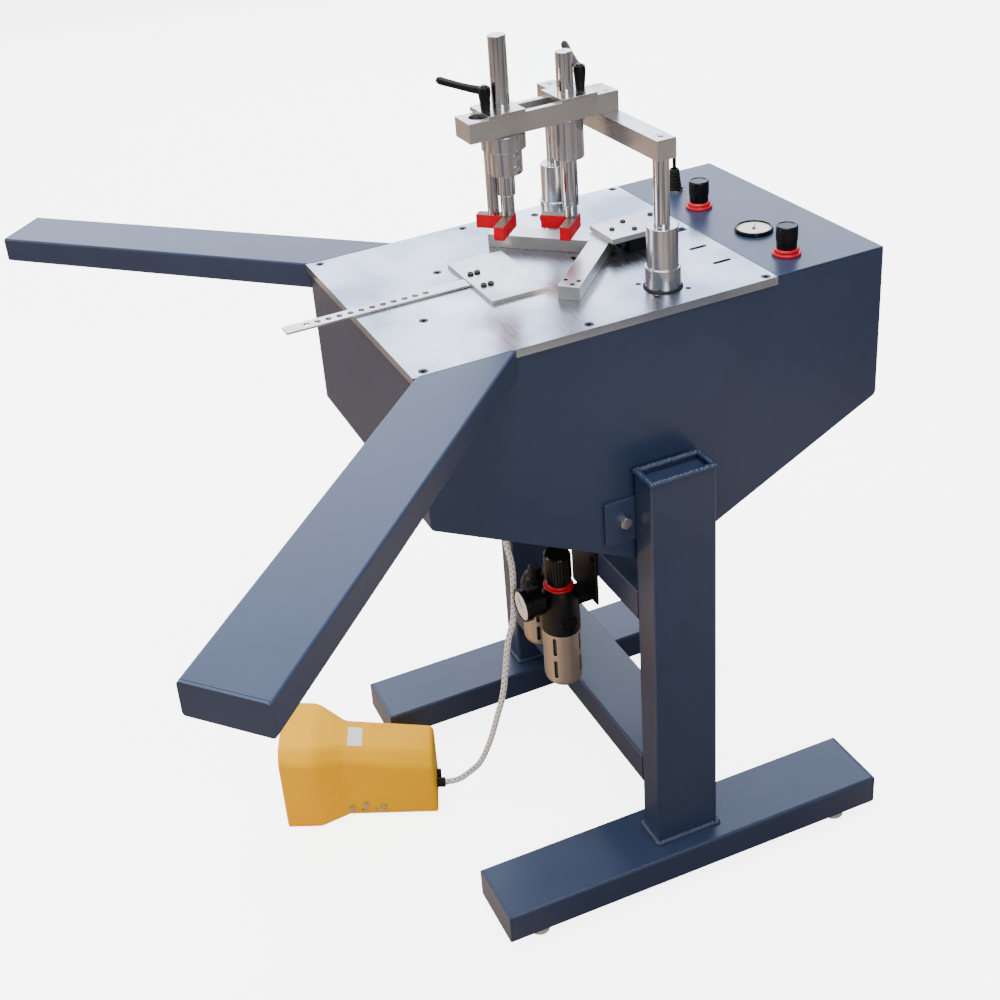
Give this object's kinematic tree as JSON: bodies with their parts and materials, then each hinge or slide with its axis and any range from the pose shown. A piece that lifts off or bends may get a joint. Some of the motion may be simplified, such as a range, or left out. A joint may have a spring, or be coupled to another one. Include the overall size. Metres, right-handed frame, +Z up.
{
  "type": "picture frame underpinner",
  "caption": "Pneumatic bench tool that presses a mitred frame corner onto its table and drives wedges into the joint from below, worked by a foot pedal.",
  "frame": {"origin": "on the floor, under the middle of the machine's outline", "axes": "+Z up, -Y towards the operator, +X to the operator's right"},
  "size_m": [1.3564, 1.0918, 1.282],
  "materials": {
    "paint": "semi-gloss slate blue paint",
    "table_steel": "ground steel",
    "steel": "turned and milled steel",
    "chrome": "polished rod",
    "fastener": "black oxide",
    "red_pad": "satin red",
    "red_plastic": "gloss red",
    "yellow_paint": "gloss yellow enamel",
    "black_plastic": "satin black",
    "black_rubber": "matt black",
    "guard": "champagne lacquer",
    "hose": "grey and white braid"
  },
  "bodies": {
    "machine": {"floor_foot_right": "paint", "floor_foot_left": "paint", "levelling_feet": "black_rubber", "upright_right": "paint", "upright_left": "paint", "tube_end_plates": "paint", "lower_cross_beam": "paint", "upper_cross_beam": "paint", "frame_fasteners": "fastener", "cabinet_body": "paint", "rear_cover": "paint", "table_plate": "table_steel", "support_arm_right": "paint", "support_arm_left": "paint", "guide_insert": "table_steel", "lift_cylinder_right": "chrome", "lift_cylinder_left": "chrome", "knob_rings": "red_plastic", "gauge_body": "black_plastic", "toggle_boot": "black_rubber", "air_unit_body": "black_plastic", "bowl_guards": "guard", "pedal_base": "yellow_paint", "pedal_housing": "yellow_paint", "pedal_pins": "steel", "hose_fittings": "black_plastic", "driver_cylinder": "steel", "wedge_magazine": "steel", "air_hose": "hose"},
    "press": {"piston_rod_right": "chrome", "piston_rod_left": "chrome", "bridge_bar": "steel", "slotted_beam": "steel", "bridge_screws": "fastener"},
    "front_slider": {"slider_plate_front": "steel", "hub_front": "steel", "clamp_collar": "steel"},
    "front_hold_down": {"hold_down_rod_front": "chrome", "guide_rod": "chrome", "pad_front": "red_pad"},
    "front_lever": {"clamp_lever_front": "black_plastic"},
    "rear_slider": {"slider_plate_rear": "steel", "hub_rear": "steel"},
    "rear_hold_down": {"hold_down_rod_rear": "chrome", "pad_rear": "red_pad"},
    "rear_lever": {"clamp_lever_rear": "black_plastic"},
    "fence_carriage": {"fence_right": "table_steel", "fence_left": "table_steel", "carriage_plate": "table_steel", "carriage_block": "black_plastic", "fence_screws": "fastener"},
    "stop": {"stop_bar": "steel"},
    "driver": {"driver_ram": "steel"},
    "pusher": {"magazine_pusher": "steel"},
    "knob_left": {"regulator_knob_left": "black_plastic"},
    "knob_right": {"regulator_knob_right": "black_plastic"},
    "needle": {"gauge_needle": "red_plastic"},
    "toggle": {"toggle_lever": "black_plastic"},
    "unit_knob": {"air_unit_knob": "black_plastic"},
    "treadle": {"pedal_treadle": "black_rubber"}
  },
  "joints": [
    {"name": "press_lift", "type": "slide", "parent": "machine", "child": "press", "axis": [0, 0, 1], "range_m": [-0.03, 0]},
    {"name": "front_slider_slide", "type": "slide", "parent": "press", "child": "front_slider", "axis": [0, 1, 0], "range_m": [-0.018, 0.02]},
    {"name": "front_rod_slide", "type": "slide", "parent": "front_slider", "child": "front_hold_down", "axis": [0, 0, 1], "range_m": [-0.028, 0.022]},
    {"name": "front_lever_turn", "type": "hinge", "parent": "front_slider", "child": "front_lever", "pos_m": [0, 0.07144, 1.195], "axis": [0, 0, 1], "range_deg": [-60, 120]},
    {"name": "rear_slider_slide", "type": "slide", "parent": "press", "child": "rear_slider", "axis": [0, 1, 0], "range_m": [-0.02, 0]},
    {"name": "rear_rod_slide", "type": "slide", "parent": "rear_slider", "child": "rear_hold_down", "axis": [0, 0, 1], "range_m": [-0.01, 0.06]},
    {"name": "rear_lever_turn", "type": "hinge", "parent": "rear_slider", "child": "rear_lever", "pos_m": [0, 0.21144, 1.195], "axis": [0, 0, 1], "range_deg": [-120, 45]},
    {"name": "fence_slide", "type": "slide", "parent": "machine", "child": "fence_carriage", "axis": [0, 1, 0], "range_m": [0, 0.03]},
    {"name": "stop_slide", "type": "slide", "parent": "machine", "child": "stop", "axis": [0, 1, 0], "range_m": [-0.06, 0.03]},
    {"name": "driver_stroke", "type": "slide", "parent": "machine", "child": "driver", "axis": [0, 0, 1], "range_m": [0, 0.044]},
    {"name": "wedge_feed", "type": "slide", "parent": "machine", "child": "pusher", "axis": [0, 1, 0], "range_m": [0, 0.088]},
    {"name": "left_knob_turn", "type": "hinge", "parent": "machine", "child": "knob_left", "pos_m": [-0.05603, 0.42988, 0.965], "axis": [0, 0, 1], "continuous": true},
    {"name": "right_knob_turn", "type": "hinge", "parent": "machine", "child": "knob_right", "pos_m": [0.15205, 0.42988, 0.965], "axis": [0, 0, 1], "continuous": true},
    {"name": "gauge_needle_turn", "type": "hinge", "parent": "machine", "child": "needle", "pos_m": [0.06191, 0.4419, 0.943], "axis": [0, 0, 1], "range_deg": [-185, 85]},
    {"name": "toggle_flip", "type": "hinge", "parent": "machine", "child": "toggle", "pos_m": [-0.13398, 0.43789, 0.971], "axis": [1, 0, 0], "range_deg": [-12, 12]},
    {"name": "unit_knob_turn", "type": "hinge", "parent": "machine", "child": "unit_knob", "pos_m": [0.06, 0.10694, 0.47], "axis": [0, 0, 1], "continuous": true},
    {"name": "treadle_press", "type": "hinge", "parent": "machine", "child": "treadle", "pos_m": [-0.10524, -0.18819, 0.022], "axis": [0.9164, -0.4003, 0], "range_deg": [0, 12], "stiffness_Nm_per_rad": 4, "springref_deg": -17.19}
  ]
}
